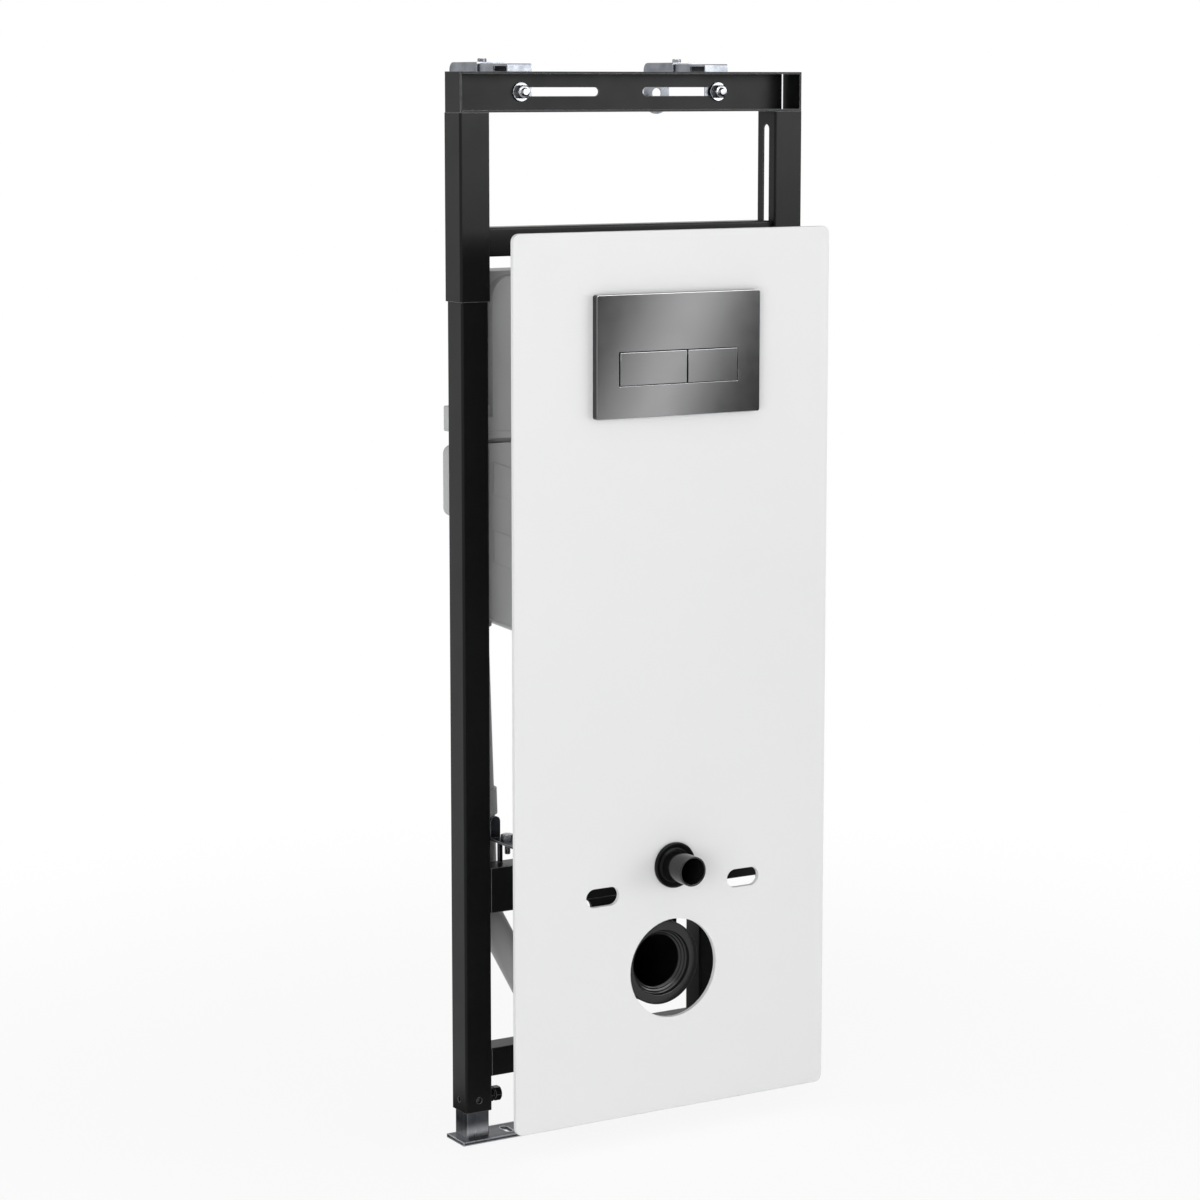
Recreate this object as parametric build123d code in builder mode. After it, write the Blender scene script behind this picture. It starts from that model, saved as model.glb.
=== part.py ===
from build123d import *
import os

# Wall hung toilet frame: a steel frame on two adjustable legs, with a concealed cistern, its pipes,
# two wall brackets, a white front panel and a flush plate with two buttons.
# Millimetres. +Z is up, +X runs from the left upright to the right one, +Y runs back to the wall.
# The origin is where the left upright's axis meets the floor, on the left foot plate's underside.

os.makedirs("parts", exist_ok=True)

# Fits
seat_gap = 0.3
button_gap = 1.0

# Uprights and legs
upright_spacing = 463.6
upright_size = 38.0
upright_wall = 2.0
upright_bottom = 38.0
upright_top = 1145.0
tube_corner = 3.0
leg_gap = 1.0
leg_wall = 2.0
leg_travel = 200.0
leg_hold = 62.0
foot_thick = 5.0
foot_length = 163.0
foot_overhang = 9.5
foot_front = 13.5
anchor_slot_length = 24.0
anchor_slot_width = 10.0
anchor_inset = 88.0
clamp_height = 53.0
clamp_bolt_radius = 5.0
clamp_head_width = 17.0
clamp_head_thick = 9.0
clamp_head_gap = 1.5
clamp_nut_thick = 8.0
clamp_washer_radius = 10.5
clamp_washer_thick = 2.0
sight_hole_radius = 3.5
front_screw_radius = 4.0

# Sleeves, upper rail and top channel
sleeve_wall = 1.7
sleeve_bottom = 1071.0
sleeve_top = 1303.0
sleeve_slot_width = 13.0
sleeve_slot_low = 1110.0
sleeve_slot_high = 1286.0
rail_bottom = 1126.0
rail_height = 36.0
rail_front = -13.0
rail_wall = 2.0
channel_height = 50.0
channel_front = -20.0
channel_back = 19.0
channel_wall = 2.5
channel_end_slit = 3.5
channel_overhang = 20.0
web_slot_height = 11.0
web_slot_near = 32.5
web_slot_far = 155.0

# Wall brackets
bracket_offset = 146.0
strip_width = 34.5
strip_thick = 2.5
strip_bend = 3.0
strip_top = 1363.0
strip_drop = 50.0
strip_reach = 134.5
strip_skirt_front = 57.0
strip_skirt = 11.0
strip_slot_width = 7.0
strip_slot_near = 60.0
strip_slot_far = 128.5
strip_bolt_radius = 5.0
strip_washer_radius = 12.0
strip_washer_thick = 2.0
strip_nut_width = 16.0
strip_nut_thick = 7.5
strip_head_thick = 6.0
strip_bolt_tip = 14.0
bracket_wall = 2.0
bracket_bend = 10.0
bracket_skirt = 17.0
bracket_front = 93.5
wall_depth = 166.5
wall_flange_drop = 67.0
wall_hole_drop = 40.0
wall_hole_radius = 7.0
arm_bolt_radius = 3.0
arm_bolt_depth = 115.5
arm_bolt_head_width = 10.0
arm_bolt_head_thick = 4.7

# Crossbars and posts
mid_height = 58.0
mid_depth = 33.0
mid_wall = 3.0
stud_height = 323.0
stud_inset = 27.0
stud_hole_radius = 6.0
narrow_stud_spacing = 180.0
wide_stud_spacing = 230.0
low_bottom = 82.0
low_height = 36.5
low_depth = 37.0
low_wall = 2.0
post_offset = 120.5
post_width = 37.0
post_depth = 36.0
post_wall = 2.0

# Front panel
panel_front = -114.5
panel_thick = 6.0
panel_width = 464.0
panel_bottom = 31.5
panel_top = 1158.5
panel_corner = 10.0
panel_edge = 1.0
waste_opening_radius = 64.5
stud_slot_length = 48.5
stud_slot_width = 24.0
stud_slot_offset = 105.5

# Flush plate, buttons and the neck behind them
plate_width = 240.0
plate_bottom = 928.0
plate_height = 153.5
plate_thick = 10.0
plate_wall = 2.5
plate_corner = 3.0
plate_edge = 0.8
button_bottom = 969.0
button_height = 40.5
large_button_left = -87.0
large_button_width = 98.0
small_button_width = 74.0
button_thick = 3.0
button_proud = 1.0
button_edge = 0.5
button_pin_radius = 3.0
button_pin_reach = 19.5
guide_front = 2.5
guide_thick = 8.0
guide_rim = 12.0
guide_bar_height = 16.0
neck_width = 200.0
neck_height = 120.0
neck_wall = 3.0

# Cistern
cistern_front = 12.5
cistern_depth = 75.0
cover_step = 13.5
cover_top = 1106.0
cover_half_width = 205.0
block_half_width = 190.0
block_top = 1100.0
block_corner = 28.0
rim_half_width = 209.0
rim_top = 924.0
rim_split = 906.0
rim_bottom = 897.0
rim_groove_height = 6.0
rim_groove_depth = 15.0
tank_half_width = 197.6
tank_side_bottom = 668.0
tank_centre_bottom = 611.0
tank_outlet_half_width = 60.0
tank_edge = 6.0
tank_band_tops = (868.0, 781.0)
tank_band_height = 41.0
tank_band_inset = 8.0
tank_band_relief = 1.2
tab_half_width = 234.0
tab_height = 32.0
tab_depth = 8.0
tab_chamfer = 8.0
lug_half_width = 236.0
lug_bottom = 798.0
lug_height = 90.0
lug_depth = 34.0
lug_corner = 22.0

# Flush pipe, its seal and its inlet to the bowl
stud_to_flush = 29.6
flush_pipe_radius = 25.0
flush_pipe_wall = 3.0
flush_bend_radius = 60.0
flush_outlet_bottom = 596.0
flush_notch_radius = 30.0
inlet_radius = 19.3
inlet_wall = 2.3
inlet_root_step = 0.5
inlet_root_front = -121.0
inlet_front = -160.5
inlet_back = -66.0
inlet_collar_front = -104.0
seal_radius = 29.5
seal_thick = 6.0
seal_dish = 2.0

# Waste bend, its seal and its holder
stud_to_waste = 105.5
waste_pipe_radius = 56.0
waste_pipe_wall = 4.0
spigot_radius = 55.0
spigot_top = 85.0
waste_bend_radius = 95.0
waste_drop_depth = 85.0
waste_bottom = 45.0
socket_front = -82.0
socket_back = -40.0
socket_radius = 55.0
socket_wall = 4.0
waste_seal_step_radius = 42.5
waste_seal_lip_radius = 34.0
waste_seal_rim = 4.0
waste_seal_depth = 12.0
waste_seal_lip_thick = 3.0
holder_radius = 65.0
holder_thick = 4.0
holder_fillet = 12.0

# Side drain pipe
drain_radius = 19.0
drain_wall = 2.0
drain_depth = 50.0
drain_top_offset = 198.5
drain_knee_offset = 186.5
drain_knee_height = 287.0
drain_elbow_offset = 112.0
drain_elbow_height = 150.0
drain_end_height = 75.0
drain_end_gap = 1.0
drain_collar_radius = 22.5
drain_collar_bottom = 410.0
drain_collar_height = 33.0
drain_boss_radius = 23.0
drain_boss_height = 150.0
drain_boss_bottom = 655.0
drain_bend_radius = 45.0

# Arms that carry the front panel
arm_inner_offset = 147.5
arm_outer_offset = 187.5
arm_rise = 24.0
arm_thick = 3.0
arm_back = 30.5
arm_ear_width = 14.0
arm_ear_height = 31.0
arm_flange_height = 28.0
arm_post_size = 5.0
panel_bolt_offset = 174.0
panel_bolt_depth = 8.0
panel_bolt_radius = 4.0
panel_bolt_head_width = 15.0
panel_bolt_head_thick = 8.0
panel_bolt_tail = 15.0

# Sizes that follow from the driving ones
centre_x = upright_spacing / 2
upright_half = upright_size / 2
upright_inner = upright_size - 2 * upright_wall
leg_size = upright_inner - 2 * leg_gap
leg_top = upright_bottom + leg_travel + leg_hold
foot_back = leg_size / 2
sleeve_inner = upright_size + 2 * seat_gap
sleeve_size = sleeve_inner + 2 * sleeve_wall
channel_bottom = sleeve_top
channel_middle = channel_bottom + channel_height / 2
channel_depth = channel_back - channel_front
web_front = channel_back - channel_wall
crossbar_length = upright_spacing - upright_size
mid_bottom = stud_height - stud_inset
mid_top = mid_bottom + mid_height
flush_height = stud_height + stud_to_flush
waste_height = stud_height - stud_to_waste
arm_bottom = mid_top + arm_rise
panel_back = panel_front + panel_thick
plate_middle = plate_bottom + plate_height / 2
button_middle = button_bottom + button_height / 2
plate_front = panel_front - plate_thick
cistern_back = cistern_front + cistern_depth
cistern_middle = (cistern_front + cistern_back) / 2

mid_plane = Plane.YZ.offset(centre_x)
sides = (("left", 0.0, 1), ("right", upright_spacing, -1))


def facing(depth):
    """Upright plane at a depth, seen from the front: x runs right from the centre line, y runs up."""
    return Plane(origin=(centre_x, depth, 0), x_dir=(1, 0, 0), z_dir=(0, -1, 0))


def keep(piece, name):
    """Label a finished piece and write its file."""
    piece.part.label = name
    export_step(piece.part, f"parts/{name}.step")


def keep_pair(piece, name):
    """Keep a left piece, and its mirror image as the right one."""
    keep(piece, f"left_{name}")
    with BuildPart() as twin:
        mirror(piece.part, about=mid_plane)
    keep(twin, f"right_{name}")


def elbow_pipe(front, height, turn, back, end, radius, wall):
    """Level pipe from its front end back to a quarter turn, then upright to its end height."""
    rise = 1 if end > height else -1
    with BuildPart() as pipe:
        with BuildSketch(facing(back - turn)) as ring:
            with Locations((0, height)):
                Circle(radius)
                Circle(radius - wall, mode=Mode.SUBTRACT)
        extrude(amount=back - turn - front)
        turn_axis = Axis((centre_x, back - turn, height + rise * turn), (rise, 0, 0))
        revolve(ring.sketch, axis=turn_axis, revolution_arc=90)
        with BuildSketch(Plane.XY.offset(height + rise * turn)):
            with Locations((centre_x, back)):
                Circle(radius)
                Circle(radius - wall, mode=Mode.SUBTRACT)
        extrude(amount=end - height - rise * turn)
    return pipe


# Uprights: square tubes with the clamp bolt's hole inside, a sight hole outside and a screw hole in front
for side, x, inward in sides:
    inner_face = x + inward * upright_half
    with BuildPart() as upright:
        with BuildSketch(Plane.XY.offset(upright_bottom)):
            with Locations((x, 0)):
                RectangleRounded(upright_size, upright_size, tube_corner)
                Rectangle(upright_inner, upright_inner, mode=Mode.SUBTRACT)
        extrude(amount=upright_top - upright_bottom)
        with Locations(Plane(origin=(inner_face, 0, clamp_height), z_dir=(inward, 0, 0))):
            Hole(clamp_bolt_radius + seat_gap, depth=upright_wall)
        with Locations(Plane(origin=(x - inward * upright_half, 0, clamp_height), z_dir=(-inward, 0, 0))):
            Hole(sight_hole_radius, depth=upright_wall)
        with Locations(Plane(origin=(x, -upright_half, clamp_height), z_dir=(0, -1, 0))):
            Hole(front_screw_radius, depth=upright_wall)
    keep(upright, f"{side}_upright")

# Legs: square tubes that stand on the foot plates and slide in the uprights
for side, x, inward in sides:
    with BuildPart() as leg:
        with BuildSketch(Plane.XY.offset(foot_thick)):
            with Locations((x, 0)):
                RectangleRounded(leg_size, leg_size, tube_corner - leg_gap)
                Rectangle(leg_size - 2 * leg_wall, leg_size - 2 * leg_wall, mode=Mode.SUBTRACT)
        extrude(amount=leg_top - foot_thick)
    keep(leg, f"{side}_leg")

# Foot plate: flush with the leg's back, longer inwards, with a slot for the floor anchor
foot_outer = -upright_half - foot_overhang
foot_depth = foot_front + leg_size / 2 + foot_back
foot_middle = foot_back - foot_depth / 2
with BuildPart() as foot_plate:
    with BuildSketch(Plane.XY):
        with Locations((foot_outer + foot_length / 2, foot_middle)):
            Rectangle(foot_length, foot_depth)
        with Locations((foot_outer + foot_length - anchor_inset, foot_middle)):
            SlotOverall(anchor_slot_length, anchor_slot_width, rotation=90, mode=Mode.SUBTRACT)
    extrude(amount=foot_thick)
keep_pair(foot_plate, "foot_plate")

# Leg bolt: washer and nut on the upright's inner face, the head further out, its tip against the leg
clamp_nut_base = upright_half + clamp_washer_thick
clamp_head_base = clamp_nut_base + clamp_nut_thick + clamp_head_gap
with BuildPart() as leg_bolt:
    with BuildSketch(Plane.YZ.offset(upright_half)):
        with Locations((0, clamp_height)):
            Circle(clamp_washer_radius)
    extrude(amount=clamp_washer_thick)
    for hex_base, hex_thick in ((clamp_nut_base, clamp_nut_thick), (clamp_head_base, clamp_head_thick)):
        with BuildSketch(Plane.YZ.offset(hex_base)):
            with Locations((0, clamp_height)):
                RegularPolygon(clamp_head_width / 2, 6, major_radius=False)
        extrude(amount=hex_thick)
    with BuildSketch(Plane.YZ.offset(leg_size / 2 + seat_gap)):
        with Locations((0, clamp_height)):
            Circle(clamp_bolt_radius)
    extrude(amount=clamp_head_base - leg_size / 2 - seat_gap)
keep_pair(leg_bolt, "leg_bolt")

# Sleeves: open at the back, each with a long slot in its inner wall
for side, x, inward in sides:
    inner_face = x + inward * sleeve_size / 2
    with BuildPart() as sleeve:
        with BuildSketch(Plane.XY.offset(sleeve_bottom)):
            with Locations((x, 0)):
                RectangleRounded(sleeve_size, sleeve_size, tube_corner)
            with Locations((x, sleeve_wall)):
                Rectangle(sleeve_inner, sleeve_size, mode=Mode.SUBTRACT)
        extrude(amount=sleeve_top - sleeve_bottom)
        slot_middle = (sleeve_slot_low + sleeve_slot_high) / 2
        slot_plane = Plane(origin=(inner_face, 0, slot_middle), x_dir=(0, 0, 1), z_dir=(inward, 0, 0))
        with BuildSketch(slot_plane):
            SlotOverall(sleeve_slot_high - sleeve_slot_low, sleeve_slot_width)
        extrude(amount=-sleeve_wall, mode=Mode.SUBTRACT)
    keep(sleeve, f"{side}_sleeve")

# Upper rail: a tube between the sleeves
rail_depth = sleeve_size / 2 - rail_front
with BuildPart() as upper_rail:
    with BuildSketch(Plane.YZ.offset(sleeve_size / 2)):
        with Locations((rail_front + rail_depth / 2, rail_bottom + rail_height / 2)):
            RectangleRounded(rail_depth, rail_height, tube_corner)
            Rectangle(rail_depth - 2 * rail_wall, rail_height - 2 * rail_wall, mode=Mode.SUBTRACT)
    extrude(amount=upright_spacing - sleeve_size)
keep(upper_rail, "upper_rail")

# Top channel: open to the front, with end plates and two long slots in its web
channel_length = upright_spacing + 2 * channel_overhang
channel_open = channel_height - 2 * channel_wall
with BuildPart() as top_channel:
    with BuildSketch(Plane.YZ.offset(-channel_overhang)):
        with Locations((channel_front + channel_depth / 2, channel_middle)):
            Rectangle(channel_depth, channel_height)
        with Locations((channel_front + channel_depth / 2 - channel_wall, channel_middle)):
            Rectangle(channel_depth, channel_open, mode=Mode.SUBTRACT)
    extrude(amount=channel_length)
    for end in (-channel_overhang, upright_spacing + channel_overhang - channel_wall):
        with BuildSketch(Plane.YZ.offset(end)):
            with Locations((channel_front + channel_depth / 2, channel_middle)):
                Rectangle(channel_depth, channel_open)
        extrude(amount=channel_wall)
    slit_offset = channel_length / 2 - channel_wall - channel_end_slit / 2
    with BuildSketch(facing(channel_back)):
        with Locations((-slit_offset, channel_middle), (slit_offset, channel_middle)):
            Rectangle(channel_end_slit, channel_open)
        slot_centre = (web_slot_near + web_slot_far) / 2
        with Locations((-slot_centre, channel_middle), (slot_centre, channel_middle)):
            SlotOverall(web_slot_far - web_slot_near, web_slot_height)
    extrude(amount=channel_wall, mode=Mode.SUBTRACT)
keep(top_channel, "top_channel")

# Bracket strip: bolted behind the channel's web, then bent back between skirts, with a long slot
strip_x = centre_x - bracket_offset
strip_under = strip_top - strip_thick
with BuildPart() as bracket_strip:
    with BuildSketch(Plane.YZ.offset(strip_x - strip_width / 2)) as strip_outline:
        with Locations((channel_back, strip_top)):
            Rectangle(strip_thick, strip_drop, align=(Align.MIN, Align.MAX))
            Rectangle(strip_reach - channel_back, strip_thick, align=(Align.MIN, Align.MAX))
        outer_corner = strip_outline.vertices().group_by(Axis.Y)[-1].sort_by(Axis.X)[0]
        fillet(outer_corner, strip_bend)
    extrude(amount=strip_width)
    with BuildSketch(Plane.XY.offset(strip_under)):
        skirt_x = (strip_width - strip_thick) / 2
        with Locations((strip_x - skirt_x, strip_skirt_front), (strip_x + skirt_x, strip_skirt_front)):
            Rectangle(strip_thick, strip_reach - strip_skirt_front, align=(Align.CENTER, Align.MIN))
    extrude(amount=-strip_skirt)
    with BuildSketch(Plane.XY.offset(strip_top)):
        with Locations((strip_x, (strip_slot_near + strip_slot_far) / 2)):
            SlotOverall(strip_slot_far - strip_slot_near, strip_slot_width, rotation=90)
    extrude(amount=-strip_thick, mode=Mode.SUBTRACT)
    with Locations(Plane(origin=(strip_x, channel_back, channel_middle), z_dir=(0, -1, 0))):
        Hole(strip_bolt_radius + seat_gap, depth=strip_thick)
keep_pair(bracket_strip, "bracket_strip")

# Strip bolt: head behind the strip, washer and nut in front of the web, its tip standing forward
strip_back = channel_back + strip_thick
bolt_front = Plane(origin=(strip_x, web_front, channel_middle), x_dir=(1, 0, 0), z_dir=(0, -1, 0))
bolt_back = Plane(origin=(strip_x, strip_back, channel_middle), x_dir=(-1, 0, 0), z_dir=(0, 1, 0))
with BuildPart() as strip_bolt:
    with BuildSketch(bolt_back):
        RegularPolygon(strip_nut_width / 2, 6, major_radius=False)
    extrude(amount=strip_head_thick)
    with BuildSketch(bolt_front):
        Circle(strip_washer_radius)
    extrude(amount=strip_washer_thick)
    with BuildSketch(bolt_front.offset(strip_washer_thick)):
        RegularPolygon(strip_nut_width / 2, 6, major_radius=False)
    extrude(amount=strip_nut_thick)
    with BuildSketch(bolt_back):
        Circle(strip_bolt_radius)
    extrude(amount=-(strip_thick + channel_wall + strip_bolt_tip))
keep_pair(strip_bolt, "strip_bolt")

# Wall bracket: skirted strip over the bracket strip, bent down to a rounded flange on the wall
bracket_inner = strip_width + 2 * seat_gap
bracket_width = bracket_inner + 2 * bracket_wall
bracket_top = strip_top + seat_gap + bracket_wall
flange_low = bracket_top - wall_flange_drop
with BuildPart() as wall_bracket:
    with BuildSketch(Plane.YZ.offset(strip_x - bracket_width / 2)) as bracket_outline:
        with Locations((wall_depth, bracket_top)):
            Rectangle(wall_depth - bracket_front, bracket_skirt, align=(Align.MAX, Align.MAX))
        fillet(bracket_outline.vertices().group_by(Axis.Y)[-1].sort_by(Axis.X)[-1], bracket_bend)
    extrude(amount=bracket_width)
    with BuildSketch(Plane.YZ.offset(strip_x - bracket_inner / 2)) as bracket_hollow:
        with Locations((wall_depth - bracket_wall, bracket_top - bracket_wall)):
            Rectangle(wall_depth - bracket_front, bracket_skirt, align=(Align.MAX, Align.MAX))
        hollow_corner = bracket_hollow.vertices().group_by(Axis.Y)[-1].sort_by(Axis.X)[-1]
        fillet(hollow_corner, bracket_bend - bracket_wall)
    extrude(amount=bracket_inner, mode=Mode.SUBTRACT)
    with BuildSketch(Plane.XZ.offset(-wall_depth)):
        with Locations((strip_x, flange_low + bracket_width / 2)):
            Circle(bracket_width / 2)
            Rectangle(
                bracket_width,
                wall_flange_drop - bracket_width / 2 - bracket_bend,
                align=(Align.CENTER, Align.MIN),
            )
        with Locations((strip_x, bracket_top - wall_hole_drop)):
            Circle(wall_hole_radius, mode=Mode.SUBTRACT)
    extrude(amount=bracket_wall)
    with Locations(Plane(origin=(strip_x, arm_bolt_depth, bracket_top), z_dir=(0, 0, 1))):
        Hole(arm_bolt_radius + seat_gap, depth=bracket_wall)
keep_pair(wall_bracket, "wall_bracket")

# Clamp bolt: head on the wall bracket, shank through the strip's slot, nut under the strip
nut_top = strip_under - seat_gap
with BuildPart() as clamp_bolt:
    with BuildSketch(Plane.XY.offset(bracket_top)):
        with Locations((strip_x, arm_bolt_depth)):
            RegularPolygon(arm_bolt_head_width / 2, 6, major_radius=False)
    extrude(amount=arm_bolt_head_thick)
    with BuildSketch(Plane.XY.offset(bracket_top)):
        with Locations((strip_x, arm_bolt_depth)):
            Circle(arm_bolt_radius)
    extrude(amount=nut_top - bracket_top)
    with BuildSketch(Plane.XY.offset(nut_top)):
        with Locations((strip_x, arm_bolt_depth)):
            RegularPolygon(arm_bolt_head_width / 2, 6, major_radius=False)
    extrude(amount=-arm_bolt_head_thick)
keep_pair(clamp_bolt, "clamp_bolt")

# Mid crossbar: a channel open at the back, with the bowl's stud holes, a notch for the flush pipe
# and a small post at each side under the panel's arms
stud_spots = [
    (sign * spacing / 2, stud_height)
    for spacing in (narrow_stud_spacing, wide_stud_spacing)
    for sign in (-1, 1)
]
with BuildPart() as mid_crossbar:
    with BuildSketch(Plane.YZ.offset(upright_half)):
        with Locations((-upright_half, mid_bottom)):
            Rectangle(mid_depth, mid_height, align=(Align.MIN, Align.MIN))
        with Locations((-upright_half + mid_wall, mid_bottom + mid_wall)):
            Rectangle(mid_depth, mid_height - 2 * mid_wall, align=(Align.MIN, Align.MIN), mode=Mode.SUBTRACT)
    extrude(amount=crossbar_length)
    with BuildSketch(facing(-upright_half + mid_depth)):
        with Locations((0, flush_height)):
            Circle(flush_notch_radius)
    extrude(amount=mid_depth, mode=Mode.SUBTRACT)
    with BuildSketch(facing(-upright_half + mid_wall)):
        with Locations(*stud_spots):
            Circle(stud_hole_radius)
    extrude(amount=mid_wall, mode=Mode.SUBTRACT)
    post_spot = arm_outer_offset - arm_post_size / 2
    with BuildSketch(Plane.XY.offset(mid_top)):
        with Locations((centre_x - post_spot, panel_bolt_depth), (centre_x + post_spot, panel_bolt_depth)):
            Rectangle(arm_post_size, arm_post_size)
    extrude(amount=arm_bottom - mid_top)
keep(mid_crossbar, "mid_crossbar")

# Lower crossbar
low_top = low_bottom + low_height
with BuildPart() as lower_crossbar:
    with BuildSketch(Plane.YZ.offset(upright_half)):
        with Locations((-upright_half + low_depth / 2, low_bottom + low_height / 2)):
            RectangleRounded(low_depth, low_height, tube_corner)
            Rectangle(low_depth - 2 * low_wall, low_height - 2 * low_wall, mode=Mode.SUBTRACT)
    extrude(amount=crossbar_length)
keep(lower_crossbar, "lower_crossbar")

# Posts between the crossbars
with BuildPart() as post:
    with BuildSketch(Plane.XY.offset(low_top)):
        with Locations((centre_x - post_offset, -upright_half + post_depth / 2)):
            RectangleRounded(post_width, post_depth, tube_corner)
            Rectangle(post_width - 2 * post_wall, post_depth - 2 * post_wall, mode=Mode.SUBTRACT)
    extrude(amount=mid_bottom - low_top)
keep_pair(post, "post")

# Front panel: openings for the waste, the bowl's studs, the flush seal and the service neck
with BuildPart() as front_panel:
    with BuildSketch(facing(panel_back)):
        with Locations((0, (panel_bottom + panel_top) / 2)):
            RectangleRounded(panel_width, panel_top - panel_bottom, panel_corner)
        with Locations((0, waste_height)):
            Circle(waste_opening_radius, mode=Mode.SUBTRACT)
        with Locations((-stud_slot_offset, stud_height), (stud_slot_offset, stud_height)):
            SlotOverall(stud_slot_length, stud_slot_width, mode=Mode.SUBTRACT)
        with Locations((0, flush_height)):
            Circle(flush_pipe_radius + seat_gap, mode=Mode.SUBTRACT)
        with Locations((0, plate_middle)):
            Rectangle(neck_width + 2 * seat_gap, neck_height + 2 * seat_gap, mode=Mode.SUBTRACT)
    extrude(amount=panel_thick)
    fillet(front_panel.faces().sort_by(Axis.Y)[0].outer_wire().edges(), panel_edge)
keep(front_panel, "front_panel")

# Service neck: a rectangular duct from the cistern's cover through the panel
with BuildPart() as service_neck:
    with BuildSketch(facing(cistern_front)):
        with Locations((0, plate_middle)):
            Rectangle(neck_width, neck_height)
            Rectangle(neck_width - 2 * neck_wall, neck_height - 2 * neck_wall, mode=Mode.SUBTRACT)
    extrude(amount=cistern_front - panel_front)
keep(service_neck, "service_neck")

# Flush plate: a shallow shell with one opening for both buttons
small_button_left = large_button_left + large_button_width + button_gap
buttons_width = large_button_width + button_gap + small_button_width
opening_width = buttons_width + 2 * button_gap
opening_height = button_height + 2 * button_gap
with BuildPart() as flush_plate:
    with BuildSketch(facing(panel_front)):
        with Locations((0, plate_middle)):
            RectangleRounded(plate_width, plate_height, plate_corner)
    extrude(amount=plate_thick)
    fillet(flush_plate.faces().sort_by(Axis.Y)[0].edges(), plate_edge)
    with BuildSketch(facing(panel_front)):
        with Locations((0, plate_middle)):
            Rectangle(plate_width - 2 * plate_wall, plate_height - 2 * plate_wall)
    extrude(amount=plate_thick - plate_wall, mode=Mode.SUBTRACT)
    with BuildSketch(facing(panel_front)):
        with Locations((large_button_left + buttons_width / 2, button_middle)):
            Rectangle(opening_width, opening_height)
    extrude(amount=plate_thick, mode=Mode.SUBTRACT)
keep(flush_plate, "flush_plate")

# Buttons: caps with two guide pins each
button_front = plate_front - button_proud
pin_spots = {}
for name, left, width in (
    ("large_button", large_button_left, large_button_width),
    ("small_button", small_button_left, small_button_width),
):
    pin_spots[name] = [(left + width / 4, button_middle), (left + width * 3 / 4, button_middle)]
    with BuildPart() as button:
        with BuildSketch(facing(button_front + button_thick)):
            with Locations((left + width / 2, button_middle)):
                Rectangle(width, button_height)
        extrude(amount=button_thick)
        fillet(button.faces().sort_by(Axis.Y)[0].edges(), button_edge)
        with BuildSketch(facing(button_front + button_thick + button_pin_reach)):
            with Locations(*pin_spots[name]):
                Circle(button_pin_radius)
        extrude(amount=button_pin_reach)
    keep(button, name)

# Plate frame: a rim inside the neck's mouth, with a bar that guides the buttons' pins
guide_back = panel_front + guide_front + guide_thick
guide_width = neck_width - 2 * neck_wall - 2 * seat_gap
guide_height = neck_height - 2 * neck_wall - 2 * seat_gap
with BuildPart() as plate_frame:
    with BuildSketch(facing(guide_back)):
        with Locations((0, plate_middle)):
            Rectangle(guide_width, guide_height)
            Rectangle(guide_width - 2 * guide_rim, guide_height - 2 * guide_rim, mode=Mode.SUBTRACT)
        with Locations((0, button_middle)):
            Rectangle(guide_width, guide_bar_height)
        with Locations(*pin_spots["large_button"], *pin_spots["small_button"]):
            Circle(button_pin_radius + seat_gap, mode=Mode.SUBTRACT)
    extrude(amount=guide_thick)
keep(plate_frame, "plate_frame")

# Cistern cover: its tabs and the tank's lugs pass close behind the uprights
lug_front = upright_half + seat_gap

# Cistern cover: back body, raised front block with rounded top corners, rim and side tabs
with BuildPart() as cistern_cover:
    with BuildSketch(facing(cistern_back)):
        with Locations((0, rim_split)):
            Rectangle(2 * cover_half_width, cover_top - rim_split, align=(Align.CENTER, Align.MIN))
    extrude(amount=cistern_depth - cover_step)
    with BuildSketch(facing(cistern_front + cover_step)) as block_outline:
        with Locations((0, rim_split)):
            Rectangle(2 * block_half_width, block_top - rim_split, align=(Align.CENTER, Align.MIN))
        fillet(block_outline.vertices().group_by(Axis.Y)[-1], block_corner)
    extrude(amount=cover_step)
    with BuildSketch(facing(cistern_back)):
        with Locations((0, rim_split)):
            Rectangle(2 * rim_half_width, rim_top - rim_split, align=(Align.CENTER, Align.MIN))
    extrude(amount=cistern_depth)
    with BuildSketch(facing(lug_front + tab_depth)) as tab_outline:
        with Locations((0, rim_split)):
            Rectangle(2 * tab_half_width, tab_height, align=(Align.CENTER, Align.MIN))
        chamfer(tab_outline.vertices().group_by(Axis.Y)[0], tab_chamfer)
    extrude(amount=tab_depth)
keep(cistern_cover, "cistern_cover")

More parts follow.
